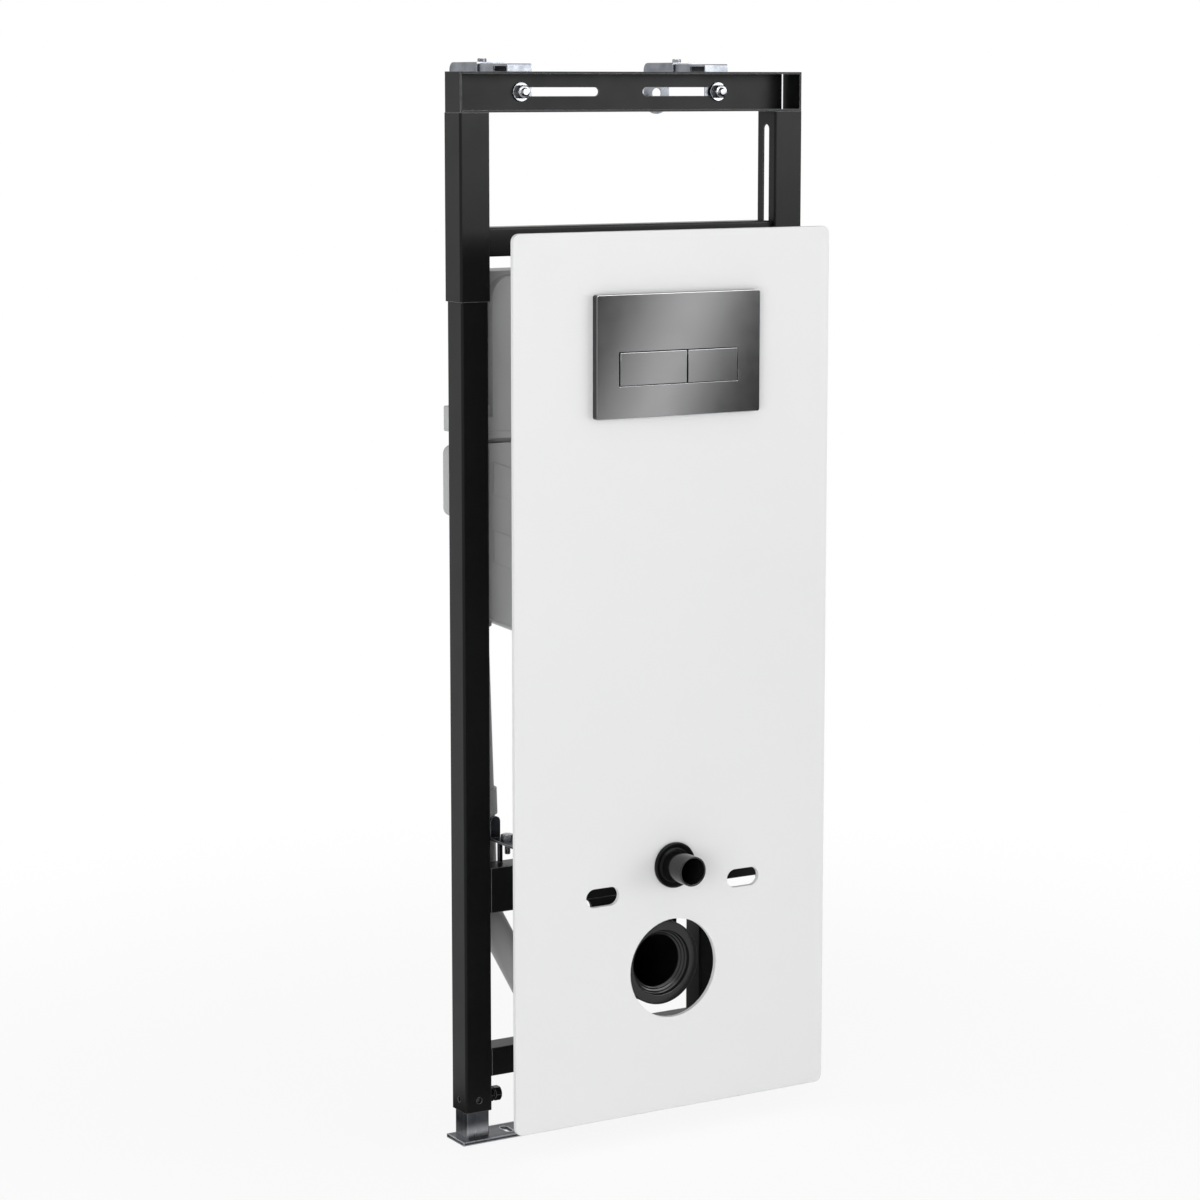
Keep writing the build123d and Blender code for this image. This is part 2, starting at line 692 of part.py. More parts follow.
# Cistern tank: sloping bottom towards the outlet, rim, side lugs behind the uprights, drain boss
band_fall = (tank_side_bottom - tank_centre_bottom) / (tank_half_width - tank_outlet_half_width)
band_half_width = tank_half_width - tank_band_inset
band_drop = band_fall * (band_half_width - tank_outlet_half_width)
with BuildPart() as cistern_tank:
    with BuildSketch(facing(cistern_back)):
        with BuildLine():
            Polyline(
                (-tank_half_width, rim_bottom),
                (-tank_half_width, tank_side_bottom),
                (-tank_outlet_half_width, tank_centre_bottom),
                (tank_outlet_half_width, tank_centre_bottom),
                (tank_half_width, tank_side_bottom),
                (tank_half_width, rim_bottom),
                close=True,
            )
        make_face()
    extrude(amount=cistern_depth)
    front_edges = cistern_tank.faces().sort_by(Axis.Y)[0].edges().sort_by(Axis.Z)
    fillet(front_edges[:-1], tank_edge)
    for band_top in tank_band_tops:
        with BuildSketch(facing(cistern_front)):
            with BuildLine():
                Polyline(
                    (-band_half_width, band_top),
                    (-tank_outlet_half_width, band_top - band_drop),
                    (tank_outlet_half_width, band_top - band_drop),
                    (band_half_width, band_top),
                    (band_half_width, band_top - tank_band_height),
                    (tank_outlet_half_width, band_top - tank_band_height - band_drop),
                    (-tank_outlet_half_width, band_top - tank_band_height - band_drop),
                    (-band_half_width, band_top - tank_band_height),
                    close=True,
                )
            make_face()
        extrude(amount=tank_band_relief)
    with BuildSketch(Plane.XY.offset(rim_bottom)):
        with Locations((centre_x, cistern_middle)):
            Rectangle(2 * rim_half_width, cistern_depth + 2 * tank_edge)
            Rectangle(
                2 * (tank_half_width - rim_groove_depth),
                cistern_depth - 2 * rim_groove_depth,
                mode=Mode.SUBTRACT,
            )
    extrude(amount=-rim_groove_height, mode=Mode.SUBTRACT)
    with BuildSketch(facing(cistern_back)):
        with Locations((0, rim_bottom)):
            Rectangle(2 * rim_half_width, rim_split - rim_bottom, align=(Align.CENTER, Align.MIN))
    extrude(amount=cistern_depth)
    with BuildSketch(facing(lug_front + lug_depth)):
        with Locations((0, lug_bottom + lug_height / 2)):
            RectangleRounded(2 * lug_half_width, lug_height, lug_corner)
    extrude(amount=lug_depth)
    with BuildSketch(Plane.XY.offset(flush_outlet_bottom)):
        with Locations((centre_x, cistern_middle)):
            Circle(flush_pipe_radius + flush_pipe_wall)
    extrude(amount=tank_centre_bottom - flush_outlet_bottom)
    with BuildSketch(Plane.XY.offset(drain_boss_bottom)):
        with Locations((centre_x - drain_top_offset, drain_depth)):
            Circle(drain_boss_radius)
    extrude(amount=drain_boss_height)
keep(cistern_tank, "cistern_tank")

# Flush pipe: down from the cistern, then forward through the crossbar's notch and the panel
flush_pipe = elbow_pipe(
    front=panel_front,
    height=flush_height,
    turn=flush_bend_radius,
    back=cistern_middle,
    end=flush_outlet_bottom,
    radius=flush_pipe_radius,
    wall=flush_pipe_wall,
)
keep(flush_pipe, "flush_pipe")

# Flush inlet: the pipe that enters the bowl, with a collar in the flush pipe's bore
collar_radius = flush_pipe_radius - flush_pipe_wall - seat_gap
inlet_bore = inlet_radius - inlet_wall
inlet_root = inlet_radius - inlet_root_step
flush_axis = Axis((centre_x, 0, flush_height), (0, 1, 0))
with BuildPart() as flush_inlet:
    with BuildSketch(mid_plane):
        with BuildLine():
            Polyline(
                (inlet_front, flush_height + inlet_bore),
                (inlet_front, flush_height + inlet_radius),
                (inlet_root_front, flush_height + inlet_radius),
                (inlet_root_front, flush_height + inlet_root),
                (inlet_collar_front, flush_height + inlet_root),
                (inlet_collar_front, flush_height + collar_radius),
                (inlet_back, flush_height + collar_radius),
                (inlet_back, flush_height + inlet_bore),
                close=True,
            )
        make_face()
    revolve(axis=flush_axis)
keep(flush_inlet, "flush_inlet")

# Flush seal: a dished ring round the inlet, on the panel's front
seal_bore = inlet_root + seat_gap
with BuildPart() as flush_seal:
    with BuildSketch(mid_plane):
        with BuildLine():
            Polyline(
                (panel_front, flush_height + seal_bore),
                (panel_front, flush_height + seal_radius),
                (panel_front - seal_thick, flush_height + seal_radius),
                (panel_front - seal_thick, flush_height + seal_radius - seal_dish),
                (panel_front - seal_dish, flush_height + seal_bore + seal_dish),
                (panel_front - seal_thick, flush_height + seal_bore),
                close=True,
            )
        make_face()
    revolve(axis=flush_axis)
keep(flush_seal, "flush_seal")

# Waste bend: from the waste socket back through a wide turn and down to its spigot
waste_elbow = elbow_pipe(
    front=socket_back,
    height=waste_height,
    turn=waste_bend_radius,
    back=waste_drop_depth,
    end=spigot_top,
    radius=waste_pipe_radius,
    wall=waste_pipe_wall,
)
with BuildPart() as waste_bend:
    add(waste_elbow.part)
    with BuildSketch(Plane.XY.offset(spigot_top)):
        with Locations((centre_x, waste_drop_depth)):
            Circle(spigot_radius)
            Circle(waste_pipe_radius - waste_pipe_wall, mode=Mode.SUBTRACT)
    extrude(amount=waste_bottom - spigot_top)
keep(waste_bend, "waste_bend")

# Waste socket: a straight collar welded to the bend's mouth
socket_bore = socket_radius - socket_wall
with BuildPart() as waste_socket:
    with BuildSketch(facing(socket_back)):
        with Locations((0, waste_height)):
            Circle(socket_radius)
            Circle(socket_bore, mode=Mode.SUBTRACT)
    extrude(amount=socket_back - socket_front)
keep(waste_socket, "waste_socket")

# Waste seal: its rim covers the socket's mouth, its body steps in to a thin lip
waste_axis = Axis((centre_x, 0, waste_height), (0, 1, 0))
seal_front = socket_front - waste_seal_rim
seal_back = socket_front + waste_seal_depth
seal_body = socket_bore - seat_gap
with BuildPart() as waste_seal:
    with BuildSketch(mid_plane):
        with BuildLine():
            Polyline(
                (seal_front, waste_height + waste_seal_step_radius),
                (seal_front, waste_height + socket_radius),
                (socket_front, waste_height + socket_radius),
                (socket_front, waste_height + seal_body),
                (seal_back, waste_height + seal_body),
                (seal_back, waste_height + waste_seal_lip_radius),
                (seal_back - waste_seal_lip_thick, waste_height + waste_seal_lip_radius),
                (socket_front + waste_seal_rim, waste_height + waste_seal_step_radius),
                close=True,
            )
        make_face()
    revolve(axis=waste_axis)
keep(waste_seal, "waste_seal")

# Waste holder: a plate hung from the mid crossbar, with a round eye for the bend
with BuildPart() as waste_holder:
    with BuildSketch(facing(-upright_half + holder_thick)):
        with Locations((0, waste_height)):
            Circle(holder_radius)
            Rectangle(2 * holder_radius, mid_bottom - waste_height, align=(Align.CENTER, Align.MIN))
        with Locations((0, mid_bottom)):
            Rectangle(2 * (holder_radius + holder_fillet), holder_fillet, align=(Align.CENTER, Align.MAX))
        corner_x = holder_radius + holder_fillet
        with Locations((-corner_x, mid_bottom - holder_fillet), (corner_x, mid_bottom - holder_fillet)):
            Circle(holder_fillet, mode=Mode.SUBTRACT)
        with Locations((0, waste_height)):
            Circle(waste_pipe_radius + seat_gap, mode=Mode.SUBTRACT)
    extrude(amount=holder_thick)
keep(waste_holder, "waste_holder")

# Side drain: from the tank's boss down past the crossbar, then across to the waste bend
drain_top = drain_boss_bottom - drain_end_gap
drain_lean = (drain_top_offset - drain_knee_offset) / (drain_top - drain_knee_height)
collar_offset = drain_knee_offset + drain_lean * (drain_collar_bottom - drain_knee_height)
collar_start = (centre_x - collar_offset, drain_depth, drain_collar_bottom)
with BuildPart() as side_drain:
    with BuildLine() as drain_route:
        FilletPolyline(
            (centre_x - drain_top_offset, drain_depth, drain_top),
            (centre_x - drain_knee_offset, drain_depth, drain_knee_height),
            (centre_x - drain_elbow_offset, drain_depth, drain_elbow_height),
            (centre_x, waste_drop_depth, drain_end_height),
            radius=drain_bend_radius,
        )
    with BuildSketch(Plane(origin=drain_route.line @ 0, z_dir=drain_route.line % 0)):
        Circle(drain_radius)
        Circle(drain_radius - drain_wall, mode=Mode.SUBTRACT)
    sweep()
    with BuildSketch(Plane(origin=collar_start, z_dir=(-drain_lean, 0, 1))):
        Circle(drain_collar_radius)
        Circle(drain_radius - drain_wall, mode=Mode.SUBTRACT)
    extrude(amount=drain_collar_height)
    with BuildSketch(Plane.XY):
        with Locations((centre_x, waste_drop_depth)):
            Circle(waste_pipe_radius + seat_gap)
    extrude(amount=drain_knee_height, mode=Mode.SUBTRACT)
keep(side_drain, "side_drain")

# Panel arm: a strip from behind the crossbar forward to the panel, with a rounded ear at its back
arm_width = arm_outer_offset - arm_inner_offset
arm_ear_x = arm_ear_width / 2 - arm_outer_offset
with BuildPart() as panel_arm:
    with BuildSketch(Plane.XY.offset(arm_bottom)):
        with Locations((centre_x - arm_outer_offset, panel_back)):
            Rectangle(arm_width, arm_back - panel_back, align=(Align.MIN, Align.MIN))
    extrude(amount=arm_thick)
    with BuildSketch(facing(panel_back + arm_thick)):
        with Locations((-arm_outer_offset, arm_bottom)):
            Rectangle(arm_width, arm_flange_height, align=(Align.MIN, Align.MIN))
    extrude(amount=arm_thick)
    with BuildSketch(facing(arm_back)):
        with Locations((-arm_outer_offset, arm_bottom)):
            Rectangle(
                arm_ear_width,
                arm_ear_height - arm_ear_width / 2,
                align=(Align.MIN, Align.MIN),
            )
        with Locations((arm_ear_x, arm_bottom + arm_ear_height - arm_ear_width / 2)):
            Circle(arm_ear_width / 2)
    extrude(amount=arm_thick)
    arm_top = arm_bottom + arm_thick
    with Locations(Plane(origin=(centre_x - panel_bolt_offset, panel_bolt_depth, arm_top), z_dir=(0, 0, 1))):
        Hole(panel_bolt_radius + seat_gap, depth=arm_thick)
keep_pair(panel_arm, "panel_arm")

# Arm bolt: hex head on the arm, its shank hanging below
with BuildPart() as arm_bolt:
    with BuildSketch(Plane.XY.offset(arm_top)):
        with Locations((centre_x - panel_bolt_offset, panel_bolt_depth)):
            RegularPolygon(panel_bolt_head_width / 2, 6, major_radius=False)
    extrude(amount=panel_bolt_head_thick)
    with BuildSketch(Plane.XY.offset(arm_bottom - panel_bolt_tail)):
        with Locations((centre_x - panel_bolt_offset, panel_bolt_depth)):
            Circle(panel_bolt_radius)
    extrude(amount=panel_bolt_tail + arm_thick)
keep_pair(arm_bolt, "arm_bolt")
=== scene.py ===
import math

import bmesh
import bpy
import numpy as np
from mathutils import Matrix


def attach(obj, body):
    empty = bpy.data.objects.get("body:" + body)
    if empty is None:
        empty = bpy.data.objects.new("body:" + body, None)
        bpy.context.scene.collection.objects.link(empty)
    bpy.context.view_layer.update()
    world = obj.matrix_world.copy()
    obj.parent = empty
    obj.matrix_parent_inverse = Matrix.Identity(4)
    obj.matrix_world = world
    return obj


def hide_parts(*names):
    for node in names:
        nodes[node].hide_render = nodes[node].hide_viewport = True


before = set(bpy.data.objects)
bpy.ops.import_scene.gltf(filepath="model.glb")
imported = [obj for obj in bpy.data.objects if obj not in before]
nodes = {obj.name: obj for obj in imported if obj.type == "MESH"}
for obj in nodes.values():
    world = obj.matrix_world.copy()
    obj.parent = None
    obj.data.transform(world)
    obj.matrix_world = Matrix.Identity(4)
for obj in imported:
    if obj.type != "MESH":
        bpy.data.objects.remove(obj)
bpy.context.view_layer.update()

# Legs and foot plates: square steel tubes welded to flat plates that stand on the floor.
# They are bright zinc plated after welding: a bluish metal, faintly clouded and drawn along its length.
# Painted light: a highlight along their edges, and on the legs' lowest two centimetres a reflection of the
# foot plate.
zinc_dull = (0.060, 0.064, 0.074, 1.0)
zinc_bright = (0.12, 0.127, 0.141, 1.0)
# Painted light tone: the highlight on all zinc edges, and the painted reflection on the legs' feet.
zinc_painted_light = (0.62, 0.64, 0.67, 1.0)
zinc_rough = (0.24, 0.42)
zinc_turn = (0.99, 0.88)
leg_draw = (1.0, 1.0, 0.06)
# Painted reflection of the foot plate on the legs: whole up to the first height, gone at the second.
leg_reflection_paint_full, leg_reflection_paint_end = 0.004, 0.026
foot_dull = (0.028, 0.030, 0.036, 1.0)
foot_bright = (0.065, 0.069, 0.078, 1.0)
foot_draw = (0.06, 1.0, 1.0)
# Width of the painted highlight along the foot plates' edges.
foot_highlight_width = 0.0034


def new_material(name):
    """An empty node material, with its Principled shader."""
    material = bpy.data.materials.new(name)
    material.use_nodes = True
    return material, material.node_tree.nodes["Principled BSDF"]


def feed(owner, node, inputs):
    """Give a node's inputs, by name or number, a value or the output of another node."""
    for name, value in inputs.items():
        if isinstance(value, bpy.types.NodeSocket):
            owner.node_tree.links.new(value, node.inputs[name])
        else:
            node.inputs[name].default_value = value


def shader_node(owner, kind, inputs, **settings):
    """Add a node to a material or to the world, with its settings and inputs."""
    node = owner.node_tree.nodes.new(kind)
    for name, value in settings.items():
        setattr(node, name, value)
    feed(owner, node, inputs)
    return node


def place_on(material):
    """Position in the object's own coordinates."""
    return shader_node(material, "ShaderNodeTexCoord", {}).outputs["Object"]


def cloud(material, scale, stretch=(1.0, 1.0, 1.0), detail=4.0):
    """Noise on the object's own coordinates, stretched along chosen directions."""
    mapped = shader_node(material, "ShaderNodeMapping", {"Vector": place_on(material), "Scale": stretch})
    noise = shader_node(
        material, "ShaderNodeTexNoise", {"Vector": mapped.outputs["Vector"], "Scale": scale, "Detail": detail}
    )
    return noise.outputs["Fac"]


def ramp(material, factor, stops):
    """Colour ramp over a factor, from (position, colour) stops."""
    made = shader_node(material, "ShaderNodeValToRGB", {"Fac": factor})
    for element, (position, _) in zip(made.color_ramp.elements, (stops[0], stops[-1])):
        element.position = position
    for position, _ in stops[1:-1]:
        made.color_ramp.elements.new(position)
    for element, (_, colour) in zip(made.color_ramp.elements, stops):
        element.color = colour
    return made.outputs["Color"]


def remap(owner, value, start, end, low=0.0, high=1.0, **settings):
    """Map the range from start to end onto the one from low to high."""
    inputs = {"Value": value, "From Min": start, "From Max": end, "To Min": low, "To Max": high}
    return shader_node(owner, "ShaderNodeMapRange", inputs, **settings).outputs["Result"]


def spread(material, factor, low, high):
    """Map a noise's middle range, from 0.3 to 0.7, onto a range of values."""
    return remap(material, factor, 0.3, 0.7, low, high)


def edge_normal(material, radius):
    """A normal that is rounded off near sharp edges."""
    return shader_node(material, "ShaderNodeBevel", {"Radius": radius}, samples=4).outputs["Normal"]


def relief(material, height, distance, edge=0.0006):
    """Bump from a height, over a normal that rounds the metal's edges."""
    inputs = {"Strength": 1.0, "Distance": distance, "Height": height, "Normal": edge_normal(material, edge)}
    return shader_node(material, "ShaderNodeBump", inputs).outputs["Normal"]


def mix(material, factor, low, high):
    """Colour between two tones: a Mix node's colours are its inputs 6 and 7 and its output 2."""
    made = shader_node(material, "ShaderNodeMix", {"Factor": factor, 6: low, 7: high}, data_type="RGBA")
    return made.outputs[2]


def painted_edge_highlight(material, tone, highlight_tone, radius, start=0.97, full=0.80):
    """A painted highlight: the tone changes to the highlight tone at sharp edges, where the rounded normal
    turns away from the flat one.

    It starts to change where the cosine of that turn falls to start, and is whole at full.
    """
    flat = shader_node(material, "ShaderNodeNewGeometry", {}).outputs["True Normal"]
    turn = shader_node(
        material, "ShaderNodeVectorMath", {0: edge_normal(material, radius), 1: flat}, operation="DOT_PRODUCT"
    )
    return mix(material, remap(material, turn.outputs["Value"], start, full), tone, highlight_tone)


def zinc_finish(name, draw, dull=zinc_dull, bright=zinc_bright, rough=zinc_rough, edge=0.0009, paint_foot_reflection=False):
    """Zinc plate: clouds of two tones, a painted highlight along its edges, and drawn streaks in its
    roughness and relief.

    With paint_foot_reflection, the lowest centimetres fade to the light tone of the edges: a painted
    reflection of the foot plate.
    """
    material, shader = new_material(name)
    tone = ramp(material, cloud(material, scale=45.0, detail=6.0), [(0.3, dull), (0.7, bright)])
    # Painted reflection of the foot plate on the lowest centimetres.
    if paint_foot_reflection:
        height = shader_node(material, "ShaderNodeSeparateXYZ", {"Vector": place_on(material)}).outputs["Z"]
        painted_reflection_share = remap(
            material, height, leg_reflection_paint_full, leg_reflection_paint_end, 1.0, 0.0, interpolation_type="SMOOTHSTEP"
        )
        tone = mix(material, painted_reflection_share, tone, zinc_painted_light)
    streaks = cloud(material, scale=120.0, stretch=draw, detail=5.0)
    # The base colour carries a painted highlight along the edges.
    feed(material, shader, {
        "Base Color": painted_edge_highlight(material, tone, zinc_painted_light, edge, *zinc_turn),
        "Metallic": 1.0,
        "Roughness": spread(material, streaks, *rough),
        "Normal": relief(material, streaks, distance=0.00006),
    })
    return material


def dress(material, *names):
    """Give CAD nodes their finish."""
    for name in names:
        nodes[name].data.materials.clear()
        nodes[name].data.materials.append(material)


leg_zinc = zinc_finish("leg_zinc", leg_draw, paint_foot_reflection=True)
foot_zinc = zinc_finish("foot_zinc", foot_draw, foot_dull, foot_bright, edge=foot_highlight_width)
dress(leg_zinc, "left_leg", "right_leg")
dress(foot_zinc, "left_foot_plate", "right_foot_plate")

# Steel frame: welded square tubes, folded channels and laser cut plates, all powder coated black.
# The coat is satin, with a fine orange peel, and a painted highlight along its edges.
coat_black = (0.0040, 0.0041, 0.0045, 1.0)
coat_worn = (0.0060, 0.0061, 0.0066, 1.0)
# Painted highlight along the coat's edges, and the radius over which it spreads.
coat_painted_highlight = (0.24, 0.24, 0.245, 1.0)
coat_highlight_width = 0.0016
coat_rough = (0.3, 0.38)
coat_gloss = 0.15


def powder_coat(name, rough=coat_rough):
    """Black powder coat: two near blacks in wide clouds, orange peel relief, uneven satin and a painted
    highlight along the edges.
    """
    material, shader = new_material(name)
    clouds = ramp(material, cloud(material, scale=9.0), [(0.35, coat_black), (0.75, coat_worn)])
    peel = cloud(material, scale=900.0, detail=2.0)
    # The base colour carries a painted highlight along the edges.
    feed(material, shader, {
        "Base Color": painted_edge_highlight(material, clouds, coat_painted_highlight, coat_highlight_width),
        "Roughness": spread(material, cloud(material, scale=25.0), *rough),
        "Specular IOR Level": coat_gloss,
        "Normal": relief(material, peel, distance=0.00003, edge=0.0009),
    })
    return material


dress(
    powder_coat("black_powder_coat"),
    "left_upright", "right_upright", "left_sleeve", "right_sleeve", "upper_rail", "top_channel",
    "mid_crossbar", "lower_crossbar", "left_post", "right_post", "waste_holder",
)

# Leg bolts: black hex bolts that press on the legs through a nut and a washer on each upright.
# Heads and nuts are forged, with crowns turned to a cone; the washer has a broken edge.
upright_spacing = 0.4636
uprights = (("left", 0.0, 1.0), ("right", upright_spacing, -1.0))
oxide_rough = (0.2, 0.34)
leg_bolt_height = 0.053
leg_bolt_face = 0.019
leg_bolt_flat = 0.0085
leg_nut_height = 0.008
leg_head_start = 0.0115
leg_head_height = 0.009
leg_shank = ((-0.0027, 0.0), (-0.0027, 0.0045), (-0.0022, 0.005), (0.012, 0.005), (0.012, 0.0))
washer_bore = 0.0052
washer_thick = 0.002
hard_edge = math.radians(35.0)
around = np.linspace(0.0, 2.0 * math.pi, 72, endpoint=False)


def grid_faces(rows, columns, closed):
    """Quads of a grid that wraps along its columns, and along its rows too where closed."""
    i = np.arange(rows if closed else rows - 1)[:, None]
    j = np.arange(columns)[None, :]
    below, after = (i + 1) % rows, (j + 1) % columns
    corners = (i * columns + j, i * columns + after, below * columns + after, below * columns + j)
    return np.stack(np.broadcast_arrays(*corners), -1).reshape(-1, 4)


def turned(centre, axis, along, radius, closed=False):
    """Rows carried round an axis: centre + along * axis + radius * (cos a * across + sin a * third)."""
    axis = np.array(axis, float)
    across = np.array((0.0, 0.0, 1.0)) if abs(axis[2]) < 0.5 else np.array((1.0, 0.0, 0.0))
    third = np.cross(axis, across)
    along, radius, turn = np.broadcast_arrays(along, radius, around[None, :])
    out = np.cos(turn)[..., None] * across + np.sin(turn)[..., None] * third
    points = np.array(centre, float) + along[..., None] * axis + radius[..., None] * out
    return points.reshape(-1, 3), grid_faces(along.shape[0], len(around), closed)


def two_columns(pairs):
    """A profile's (along, radius) pairs, as one column of each."""
    table = np.array(pairs, float)
    return table[:, :1], table[:, 1:]


def hex_block(centre, axis, half_flat, height):
    """Hexagon whose radius is half_flat / cos(angle from its nearest flat), under a 30 degree crown cone.

    The cone starts at 0.95 of half_flat on the end face, and its rows fill the last 0.14 of half_flat.
    """
    flat = half_flat / np.cos((around + math.pi / 6) % (math.pi / 3) - math.pi / 6)
    cone = np.linspace(height - 0.14 * half_flat, height, 7)
    heights = np.concatenate(([0.0, 0.0], cone, [height]))[:, None]
    crown = 0.95 * half_flat + (height - heights) / math.tan(math.radians(30))
    radius = np.minimum(flat[None, :], crown)
    radius[0] = 0.0
    radius[-1] = 0.0
    return turned(centre, axis, heights, radius)


def washer(centre, axis, outer):
    """Flat ring: its profile runs up the bore, out, down the broken outer edge and back."""
    ease = 0.2 * washer_thick
    profile = (
        (0.0, washer_bore), (washer_thick, washer_bore), (washer_thick, outer - ease),
        (washer_thick - ease, outer), (ease, outer), (0.0, outer - ease),
    )
    return turned(centre, axis, *two_columns(profile), closed=True)


def finish_mesh(mesh, material):
    """Smooth faces between kept hard edges, and the mesh's material."""
    mesh.polygons.foreach_set("use_smooth", np.ones(len(mesh.polygons), bool))
    mesh.set_sharp_from_angle(angle=hard_edge)
    mesh.materials.append(material)


def join_part(piece, body, stands_for):
    """Link a finished piece, hide the nodes it replaces, and attach it to the body it rides on."""
    bpy.context.scene.collection.objects.link(piece)
    if stands_for:
        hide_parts(*stands_for)
    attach(piece, body)


def make_piece(name, parts, body, material, stands_for=()):
    """One mesh from several grids: doubles merged, faces outward, its hard edges kept sharp."""
    points = np.concatenate([part[0] for part in parts])
    starts = np.cumsum([0] + [len(part[0]) for part in parts[:-1]])
    quads = np.concatenate([part[1] + start for part, start in zip(parts, starts)])
    mesh = bpy.data.meshes.new(name)
    mesh.from_pydata(points.tolist(), [], quads.tolist())
    work = bmesh.new()
    work.from_mesh(mesh)
    bmesh.ops.remove_doubles(work, verts=work.verts, dist=1e-6)
    bmesh.ops.recalc_face_normals(work, faces=work.faces)
    work.to_mesh(mesh)
    work.free()
    finish_mesh(mesh, material)
    join_part(bpy.data.objects.new(name, mesh), body, stands_for)


# The bolts' coat carries the same painted highlight along its edges.
bolt_black = powder_coat("bolt_black_oxide", oxide_rough)
for side, x, inward in uprights:
    seat = np.array((x + inward * leg_bolt_face, 0.0, leg_bolt_height))
    toward = np.array((inward, 0.0, 0.0))
    make_piece(
        f"{side}_leg_bolt_head",
        [
            washer(seat, toward, outer=0.0105),
            hex_block(seat + washer_thick * toward, toward, leg_bolt_flat, leg_nut_height),
            hex_block(seat + leg_head_start * toward, toward, leg_bolt_flat, leg_head_height),
            turned(seat, toward, *two_columns(leg_shank)),
        ],
        "frame",
        bolt_black,
        stands_for=(f"{side}_leg_bolt",),
    )

# Wall brackets: folded strips that slide over each other and bend down to a flange on the wall.
# They are blank zinc plated steel. A bright bolt with nut and washer holds each strip to the channel's
# web, and a smaller one clamps the bracket on it through its slot.
bracket_dull = (0.14, 0.15, 0.17, 1.0)
bracket_bright = (0.27, 0.285, 0.31, 1.0)
bracket_draw = (1.0, 0.05, 1.0)
bracket_offset = 0.0858
bolt_dull = (0.13, 0.135, 0.145, 1.0)
bolt_bright = (0.42, 0.43, 0.445, 1.0)
bolt_draw = (1.0, 1.0, 1.0)
bolt_rough = (0.14, 0.3)
to_room, to_wall, upward, downward = (0, -1, 0), (0, 1, 0), (0, 0, 1), (0, 0, -1)
web_front, strip_back = 0.0165, 0.0215
nut_back, thread_back = web_front - washer_thick, strip_back + 0.0001
strip_bolt_height = 1.328
strip_bolt_flat, strip_radius = 0.008, 0.005
clamp_depth = 0.1155
clamp_top, clamp_grip = 1.3653, 0.0051
clamp_flat, clamp_hex_height, clamp_radius = 0.005, 0.0047, 0.003
# Brackets, bolts and arms take the zinc's painted edge highlight too.
bracket_zinc = zinc_finish("bracket_zinc", bracket_draw, bracket_dull, bracket_bright)
bolt_zinc = zinc_finish("bolt_zinc", bolt_draw, bolt_dull, bolt_bright, bolt_rough, edge=0.0006)
dress(bracket_zinc, "left_bracket_strip", "right_bracket_strip", "left_wall_bracket", "right_wall_bracket")


def threaded(centre, axis, radius, length, pitch):
    """Screw thread: radius less a ridge wave of (along / pitch - angle / full turn), with a coned tip.

    The ridges are 0.6 of the pitch deep, and the cone ends 0.8 of the pitch inside the radius.
    """
    along = np.linspace(0.0, length, int(8 * length / pitch))[:, None]
    wave = np.abs(2.0 * ((along / pitch - around[None, :] / (2.0 * math.pi)) % 1.0) - 1.0)
    ridge = radius - 0.6 * pitch * wave
    tip = radius - 0.8 * pitch + (length - along)
    swept = np.minimum(ridge, tip)
    ends = np.zeros((1, len(around)))
    along = np.concatenate((along[:1], along, along[-1:]))
    return turned(centre, axis, along, np.concatenate((ends, swept, ends)))


def both_sides(offset):
    """The same distance inward from each upright's middle."""
    return ("left", offset), ("right", upright_spacing - offset)


for side, x in both_sides(bracket_offset):
    make_piece(
        f"{side}_strip_bolt_set",
        [
            washer((x, web_front, strip_bolt_height), to_room, outer=0.012),
            hex_block((x, nut_back, strip_bolt_height), to_room, strip_bolt_flat, height=0.0075),
            threaded((x, thread_back, strip_bolt_height), to_room, strip_radius, length=0.0191, pitch=0.0015),
            hex_block((x, strip_back, strip_bolt_height), to_wall, strip_bolt_flat, height=0.006),
        ],
        "frame",
        bolt_zinc,
        stands_for=(f"{side}_strip_bolt",),
    )
    make_piece(
        f"{side}_clamp_bolt_set",
        [
            hex_block((x, clamp_depth, clamp_top), upward, clamp_flat, clamp_hex_height),
            threaded((x, clamp_depth, clamp_top), downward, clamp_radius, clamp_grip, pitch=0.001),
            hex_block((x, clamp_depth, clamp_top - clamp_grip), downward, clamp_flat, clamp_hex_height),
        ],
        f"{side}_wall_arm",
        bolt_zinc,
        stands_for=(f"{side}_clamp_bolt",),
    )

# Panel arms: flat zinc plated strips from the mid crossbar forward to the panel, with an ear.
# A hex bolt holds each one, its thread hanging free below the strip.
arm_draw = (1.0, 0.06, 1.0)
arm_bolt_offset = 0.0578
arm_bolt_depth = 0.008
arm_top = 0.381
dress(zinc_finish("arm_zinc", arm_draw), "left_panel_arm", "right_panel_arm")
for side, x in both_sides(arm_bolt_offset):
    make_piece(
        f"{side}_arm_bolt_set",
        [
            hex_block((x, arm_bolt_depth, arm_top), upward, half_flat=0.0075, height=0.008),
            threaded((x, arm_bolt_depth, arm_top), downward, radius=0.004, length=0.018, pitch=0.00125),
        ],
        "frame",
        bolt_zinc,
        stands_for=(f"{side}_arm_bolt",),
    )

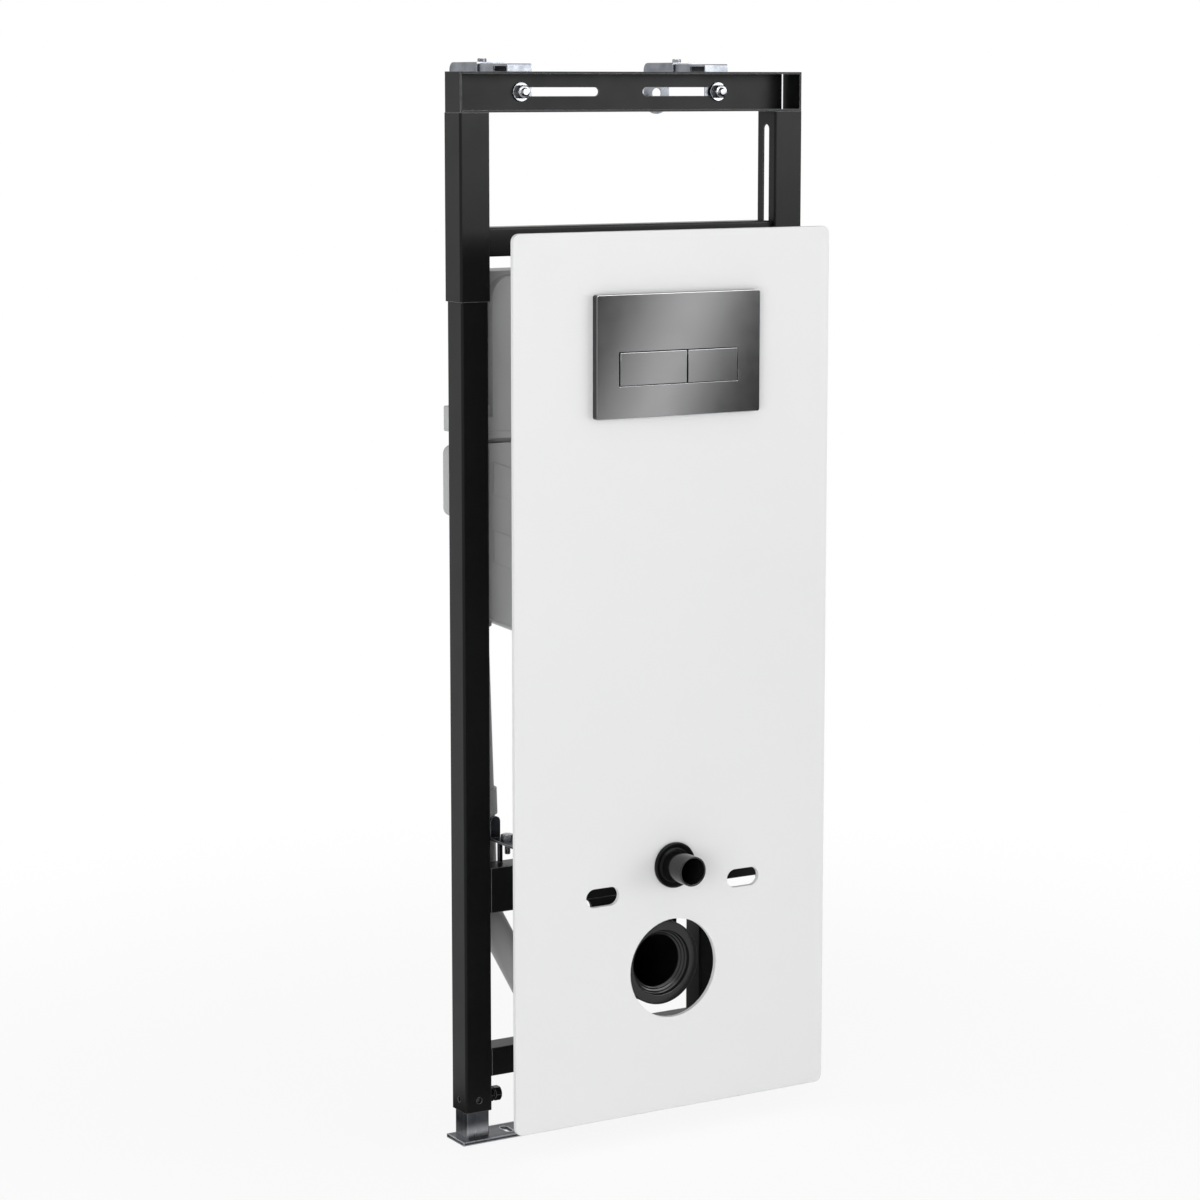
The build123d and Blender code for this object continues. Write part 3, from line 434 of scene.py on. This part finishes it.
# Cistern: a blow moulded tank with slanting bands under a cover with a raised block, held to the uprights
# by a tab and a lug on each side. It is unpainted grey plastic, matt with a fine grain, soft at every
# edge. The ears are the rounded ends of tab and lug, which show outside the uprights.
grey_shade = (0.455, 0.457, 0.462, 1.0)
grey_light = (0.51, 0.512, 0.517, 1.0)
grey_rough = (0.42, 0.56)
cover_edge_width = 0.0022
tank_edge_width = 0.0016
tab_outward, tab_height, tab_half = 0.0020, 0.922, (0.0065, 0.016)
tab_front, tab_back = 0.0274, 0.0500
lug_inward, lug_height, lug_half = 0.0030, 0.843, (0.0115, 0.045)
lug_front, lug_back = 0.0380, 0.0530


def moulded_plastic(name, shade, light, rough, grain, gloss=0.5):
    """Moulded plastic: a slow change of tone, and a fine grain in its relief and gloss."""
    material, shader = new_material(name)
    texture = cloud(material, scale=700.0, detail=3.0)
    feed(material, shader, {
        "Base Color": ramp(material, cloud(material, scale=6.0), [(0.3, shade), (0.7, light)]),
        "Roughness": spread(material, texture, *rough),
        "Specular IOR Level": gloss,
        "Normal": relief(material, texture, grain, edge=0.0008),
    })
    return material


def softened(node, body, material, width, sides=None, trim=0.0):
    """Copy of a CAD solid: its triangles merged to flat faces, and its hard edges rounded by a bevel.

    Where a material is given for the sides, all faces that don't look forward take it. A trim takes
    that much off the left and the right, as x - trim * sign(x - middle), to widen a gap.
    """
    work = bmesh.new()
    work.from_mesh(nodes[node].data)
    bmesh.ops.remove_doubles(work, verts=work.verts, dist=1e-5)
    bmesh.ops.dissolve_limit(work, angle_limit=math.radians(1.0), verts=work.verts, edges=work.edges)
    work.verts.index_update()
    points = np.array([v.co[:] for v in work.verts])
    points[:, 0] -= trim * np.sign(points[:, 0] - (points[:, 0].min() + points[:, 0].max()) / 2)
    mesh = bpy.data.meshes.new(f"{node}_shell")
    mesh.from_pydata(points.tolist(), [], [[v.index for v in f.verts] for f in work.faces])
    work.free()
    finish_mesh(mesh, material)
    if sides:
        mesh.materials.append(sides)
        facing = np.empty(3 * len(mesh.polygons), np.float32)
        mesh.polygons.foreach_get("normal", facing)
        mesh.polygons.foreach_set("material_index", (facing[1::3] > -0.3).astype(np.int32))
    piece = bpy.data.objects.new(f"{node}_shell", mesh)
    bevel = piece.modifiers.new("soft_edges", "BEVEL")
    bevel.width = width
    bevel.segments = 3
    bevel.limit_method = "ANGLE"
    bevel.angle_limit = hard_edge
    weighted = piece.modifiers.new("flat_faces", "WEIGHTED_NORMAL")
    weighted.keep_sharp = True
    join_part(piece, body, (node,))


def slab(middle, half, front, back, radius, ease):
    """Rounded block along Y: corner centres plus radius * (cos a, sin a), its end rows drawn in by ease."""
    cos, sin = np.cos(around), np.sin(around)
    centre = np.array(middle)[:, None]
    corner = np.array(half)[:, None] - radius
    out = np.stack((np.sign(cos + 1e-9), np.sign(sin + 1e-9))) * corner
    depths = np.array((front, front, front + ease, back - ease, back, back))
    inset = np.array((radius, ease, 0.0, 0.0, ease, radius))
    reach = np.array((0.0, 1.0, 1.0, 1.0, 1.0, 0.0))
    ring = reach[:, None, None] * out + (radius - inset)[:, None, None] * np.stack((cos, sin)) + centre
    points = np.stack((ring[:, 0], np.broadcast_to(depths[:, None], ring[:, 0].shape), ring[:, 1]), -1)
    return points.reshape(-1, 3), grid_faces(len(depths), len(around), False)


cistern_grey = moulded_plastic("cistern_grey", grey_shade, grey_light, grey_rough, grain=0.00006)
softened("cistern_cover", "frame", cistern_grey, cover_edge_width)
softened("cistern_tank", "frame", cistern_grey, tank_edge_width)
dress(cistern_grey, "side_drain")
for side, x, inward in uprights:
    tab_middle = (x - inward * tab_outward, tab_height)
    lug_middle = (x + inward * lug_inward, lug_height)
    tab = slab(tab_middle, tab_half, tab_front, tab_back, radius=0.002, ease=0.0012)
    lug = slab(lug_middle, lug_half, lug_front, lug_back, radius=0.011, ease=0.0015)
    make_piece(f"{side}_cistern_ears", [tab, lug], "frame", cistern_grey)

# Flush pipe, waste bend and its socket: glossy black pipes with smooth walls.
# The neck and the frame behind the flush plate are moulded in the same black plastic.
pipe_black = (0.006, 0.006, 0.0065, 1.0)
pipe_grey = (0.009, 0.009, 0.0095, 1.0)
pipe_rough = (0.12, 0.2)
duct_rough = (0.3, 0.4)
black_pipe = moulded_plastic("black_pipe", pipe_black, pipe_grey, pipe_rough, grain=0.000015)
black_duct = moulded_plastic("black_duct", pipe_black, pipe_grey, duct_rough, grain=0.00004)
dress(black_pipe, "flush_pipe", "waste_bend", "waste_socket")
dress(black_duct, "service_neck", "plate_frame")

# Flush inlet and its seal: the short pipe that enters the bowl, through a dished rubber ring.
# The pipe has a rolled mouth and an inner step; both are turned about the flush pipe's axis.
centre_x = upright_spacing / 2
flush_height = 0.3526
inlet_rough = (0.1, 0.18)
seal_rough = (0.06, 0.1)
inlet_ease, seal_ease = 0.0008, 0.0014
inlet_profile = (
    (-0.1605, 0.0170), (-0.1605, 0.0193), (-0.1210, 0.0193), (-0.1210, 0.0188),
    (-0.1040, 0.0188), (-0.1040, 0.0217), (-0.0660, 0.0217), (-0.0660, 0.0170),
)
seal_profile = (
    (-0.1145, 0.0191), (-0.1145, 0.0295), (-0.1195, 0.0295), (-0.1205, 0.0280),
    (-0.1195, 0.0265), (-0.1165, 0.0225), (-0.1175, 0.0205), (-0.1200, 0.0191),
)


def eased(corners, radius):
    """Closed profile with each corner rounded: a quadratic arc from radius before it to radius after it."""
    corner = np.array(corners, float)
    to_last = np.roll(corner, 1, 0) - corner
    to_next = np.roll(corner, -1, 0) - corner
    last_length = np.linalg.norm(to_last, axis=1, keepdims=True)
    next_length = np.linalg.norm(to_next, axis=1, keepdims=True)
    start = corner + to_last / last_length * np.minimum(radius, 0.45 * last_length)
    end = corner + to_next / next_length * np.minimum(radius, 0.45 * next_length)
    t = np.linspace(0.0, 1.0, 5)[None, :, None]
    arc = (1 - t) ** 2 * start[:, None] + 2 * t * (1 - t) * corner[:, None] + t**2 * end[:, None]
    return two_columns(arc.reshape(-1, 2))


def pipe_ring(name, node, height, profile, ease, material):
    """A closed profile turned about a pipe's axis at the frame's middle, in a CAD node's place."""
    ring = turned((centre_x, 0.0, height), to_wall, *eased(profile, ease), closed=True)
    make_piece(name, [ring], "frame", material, stands_for=(node,))


inlet_black = moulded_plastic("inlet_black", pipe_black, pipe_grey, inlet_rough, grain=0.00001)
seal_rubber = moulded_plastic("seal_rubber", pipe_black, pipe_grey, seal_rough, grain=0.000008, gloss=0.1)
pipe_ring(
    "flush_inlet_pipe", "flush_inlet", flush_height, inlet_profile, inlet_ease, inlet_black
)
pipe_ring("flush_seal_ring", "flush_seal", flush_height, seal_profile, seal_ease, seal_rubber)

# Waste seal: a moulded rubber lip ring seated in the waste bend's socket.
# A flat rim steps in to a row of thin lips that grip the bowl's pipe.
waste_height = 0.2175
rubber_dark = (0.012, 0.012, 0.013, 1.0)
rubber_light = (0.019, 0.019, 0.020, 1.0)
lip_rough = (0.16, 0.22)
lip_ease = 0.0012
lip_profile = (
    (-0.0860, 0.0425), (-0.0860, 0.0550), (-0.0820, 0.0550), (-0.0820, 0.0507),
    (-0.0700, 0.0507), (-0.0700, 0.0340), (-0.0725, 0.0340), (-0.0740, 0.0368),
    (-0.0755, 0.0372), (-0.0765, 0.0398), (-0.0785, 0.0405), (-0.0795, 0.0425),
)
lip_rubber = moulded_plastic("lip_rubber", rubber_dark, rubber_light, lip_rough, grain=0.00001, gloss=0.4)
pipe_ring("waste_seal_ring", "waste_seal", waste_height, lip_profile, lip_ease, lip_rubber)

# Front panel: a flat white board with eased corners, its openings cut clean through.
# It is satin white all over, with a barely visible waviness in the gloss.
panel_white = (0.785, 0.787, 0.79, 1.0)
panel_bright = (0.80, 0.80, 0.803, 1.0)
panel_rough = (0.36, 0.42)
panel_gloss = 0.2
board, board_shader = new_material("panel_white")
feed(board, board_shader, {
    "Base Color": ramp(board, cloud(board, scale=2.5), [(0.3, panel_white), (0.7, panel_bright)]),
    "Roughness": spread(board, cloud(board, scale=14.0), *panel_rough),
    "Specular IOR Level": panel_gloss,
    "Normal": relief(board, cloud(board, scale=400.0), distance=0.000012, edge=0.0012),
})
dress(board, "front_panel")

# Flush plate and its buttons: polished graphite faces over black sides, with eased edges.
# Both buttons stand a millimetre proud of the plate, two millimetres apart, and move straight in.
graphite_deep = (0.30, 0.30, 0.305, 1.0)
graphite_face = (0.325, 0.325, 0.33, 1.0)
graphite_rough = (0.085, 0.105)
plate_edge_width = 0.0003
button_edge_width = 0.0004
button_trim = 0.0005
graphite, graphite_shader = new_material("graphite_face")
feed(graphite, graphite_shader, {
    "Base Color": ramp(graphite, cloud(graphite, scale=20.0), [(0.3, graphite_deep), (0.7, graphite_face)]),
    "Metallic": 1.0,
    "Roughness": spread(graphite, cloud(graphite, scale=40.0), *graphite_rough),
    "Normal": relief(graphite, cloud(graphite, scale=1500.0), distance=0.000002, edge=0.0004),
})
plate_side = moulded_plastic("plate_side", pipe_black, pipe_grey, duct_rough, grain=0.00002)
softened("flush_plate", "frame", graphite, plate_edge_width, plate_side)
for size in ("large", "small"):
    softened(
        f"{size}_button", f"{size}_flush_button", graphite,
        button_edge_width, plate_side, button_trim,
    )

# Studio: a pale floor and backdrop, a large soft lamp at the left and another at the right.
# Cards at the right front, overhead and round the feet stand only in reflections, for the bands and
# edges of the metal.
floor_pale = (0.92, 0.92, 0.92, 1.0)
floor_rough = 0.9
floor_reach = 9.0
floor_near, floor_far = 0.5, 1.9
floor_near_glow = 0.88
air_level = 0.5
card_strength = 1.5
card_start, card_end = (0.6, -3.6), (4.4, -1.6)
lamp_aim = (0.2, 0.0, 0.4)


def level_sheet(left, right, front, back, height):
    """Corners of a level sheet."""
    return [(left, front, height), (right, front, height), (right, back, height), (left, back, height)]


def upright_sheet(low, high):
    """Corners of a sheet that stands on the line between the cards' two feet."""
    return [(*card_start, low), (*card_end, low), (*card_end, high), (*card_start, high)]


def flat_sheet(name, corners, material):
    """A four cornered stage sheet."""
    mesh = bpy.data.meshes.new(name)
    mesh.from_pydata(corners, [], [(0, 1, 2, 3)])
    mesh.materials.append(material)
    sheet = bpy.data.objects.new(name, mesh)
    bpy.context.scene.collection.objects.link(sheet)
    return sheet


def on_view(owner):
    """1 for camera, glossy and transmission rays, and 0 for the light that falls on things."""
    rays = shader_node(owner, "ShaderNodeLightPath", {})
    seen = rays.outputs["Is Camera Ray"]
    for kind in ("Is Glossy Ray", "Is Transmission Ray"):
        either = shader_node(owner, "ShaderNodeMath", {0: seen, 1: rays.outputs[kind]}, operation="MAXIMUM")
        seen = either.outputs[0]
    return seen


paper, paper_shader = new_material("paper_white")
feed(paper, paper_shader, {"Base Color": floor_pale, "Roughness": floor_rough})
apart = shader_node(
    paper, "ShaderNodeVectorMath", {0: place_on(paper), 1: (centre_x, 0.0, 0.0)}, operation="DISTANCE"
)
fade = remap(
    paper, apart.outputs["Value"], floor_near, floor_far, floor_near_glow, 1.0,
    interpolation_type="SMOOTHSTEP",
)
share = shader_node(paper, "ShaderNodeMath", {0: on_view(paper), 1: fade}, operation="MULTIPLY")
glow = shader_node(paper, "ShaderNodeEmission", {"Color": (1, 1, 1, 1), "Strength": 1.0})
blend = shader_node(
    paper, "ShaderNodeMixShader", {"Fac": share.outputs[0], 1: paper_shader.outputs[0], 2: glow.outputs[0]}
)
feed(paper, paper.node_tree.nodes["Material Output"], {"Surface": blend.outputs[0]})
flat_sheet("floor", level_sheet(-floor_reach, floor_reach, -floor_reach, floor_reach, 0.0), paper)

world = bpy.data.worlds.new("studio")
bpy.context.scene.world = world
world.use_nodes = True
air = remap(world, on_view(world), 0.0, 1.0, air_level, 1.0)
feed(world, world.node_tree.nodes["Background"], {"Color": (1, 1, 1, 1), "Strength": air})


def reflector(name, corners, slope, span, stops):
    """A card that only reflections see: its grey follows position . slope, mapped from a span of metres.

    The stops are (share of the span, grey level) pairs.
    """
    material = bpy.data.materials.new(name)
    material.use_nodes = True
    tree = material.node_tree
    tree.nodes.remove(tree.nodes["Principled BSDF"])
    along = shader_node(
        material, "ShaderNodeVectorMath", {0: place_on(material), 1: slope}, operation="DOT_PRODUCT"
    )
    greys = [(position, (level, level, level, 1.0)) for position, level in stops]
    tone = ramp(material, remap(material, along.outputs["Value"], *span), greys)
    light = shader_node(material, "ShaderNodeEmission", {"Color": tone, "Strength": card_strength})
    feed(material, tree.nodes["Material Output"], {"Surface": light.outputs[0]})
    card = flat_sheet(name, corners, material)
    card.visible_camera = False
    card.visible_diffuse = False
    card.visible_shadow = False
    card.visible_transmission = False


reflector(
    "front_card",
    upright_sheet(low=-0.6, high=1.02),
    slope=(1.0, 0.0, -0.30),
    span=(1.46, 2.06),
    stops=((0.0, 0.03), (0.22, 0.08), (0.48, 1.0), (0.68, 0.10), (1.0, 0.0)),
)
reflector(
    "upper_card",
    upright_sheet(low=1.08, high=2.4),
    slope=(0.0, 0.0, 1.0),
    span=(1.08, 1.3),
    stops=((0.0, 0.9), (1.0, 4.2)),
)
reflector(
    "foot_card",
    level_sheet(left=-0.12, right=0.6, front=-0.2, back=0.17, height=0.001),
    slope=(0.0, 1.0, 0.0),
    span=(-0.2, 0.17),
    stops=((0.30, 0.30), (0.42, 0.50), (0.58, 0.30), (0.60, 0.03)),
)
reflector(
    "overhead_card",
    level_sheet(left=-1.2, right=2.2, front=-2.6, back=-0.6, height=3.0),
    slope=(0.0, 1.0, 0.0),
    span=(-2.6, -0.6),
    stops=((0.0, 0.5), (0.3, 5.0), (0.7, 5.0), (1.0, 0.5)),
)


def soft_lamp(name, place, size, power):
    """A square area lamp at a place, turned towards the object and left out of reflections."""
    data = bpy.data.lights.new(name, "AREA")
    data.shape = "SQUARE"
    data.size = size
    data.energy = power
    lamp = bpy.data.objects.new(name, data)
    bpy.context.scene.collection.objects.link(lamp)
    away = np.array(place) - np.array(lamp_aim)
    flat = math.hypot(away[0], away[1])
    lamp.rotation_euler = (math.atan2(flat, away[2]), 0.0, math.atan2(away[0], -away[1]))
    lamp.location = place
    lamp.visible_glossy = False


soft_lamp("key_lamp", (-2.6, -2.6, 0.8), size=2.4, power=77.0)
soft_lamp("fill_lamp", (3.4, -2.6, 0.5), size=2.6, power=55.0)

# Camera: at the photograph's angle, from the left front and tipped a little down, with a long lens.
# Its small shift only frames the object as the photograph does.
camera_turn = -31.0
camera_tip = 8.02
camera_data = bpy.data.cameras.new("camera")
camera_data.lens = 99.71
camera_data.sensor_width = 36.0
camera_data.shift_y = -0.04
camera_data.clip_end = 60.0
camera = bpy.data.objects.new("camera", camera_data)
bpy.context.scene.collection.objects.link(camera)
camera.location = (-1.9805, -3.614, 1.338)
camera.rotation_euler = (math.radians(90.0 - camera_tip), 0.0, math.radians(camera_turn))
bpy.context.scene.camera = camera
bpy.context.scene.view_settings.view_transform = "Standard"
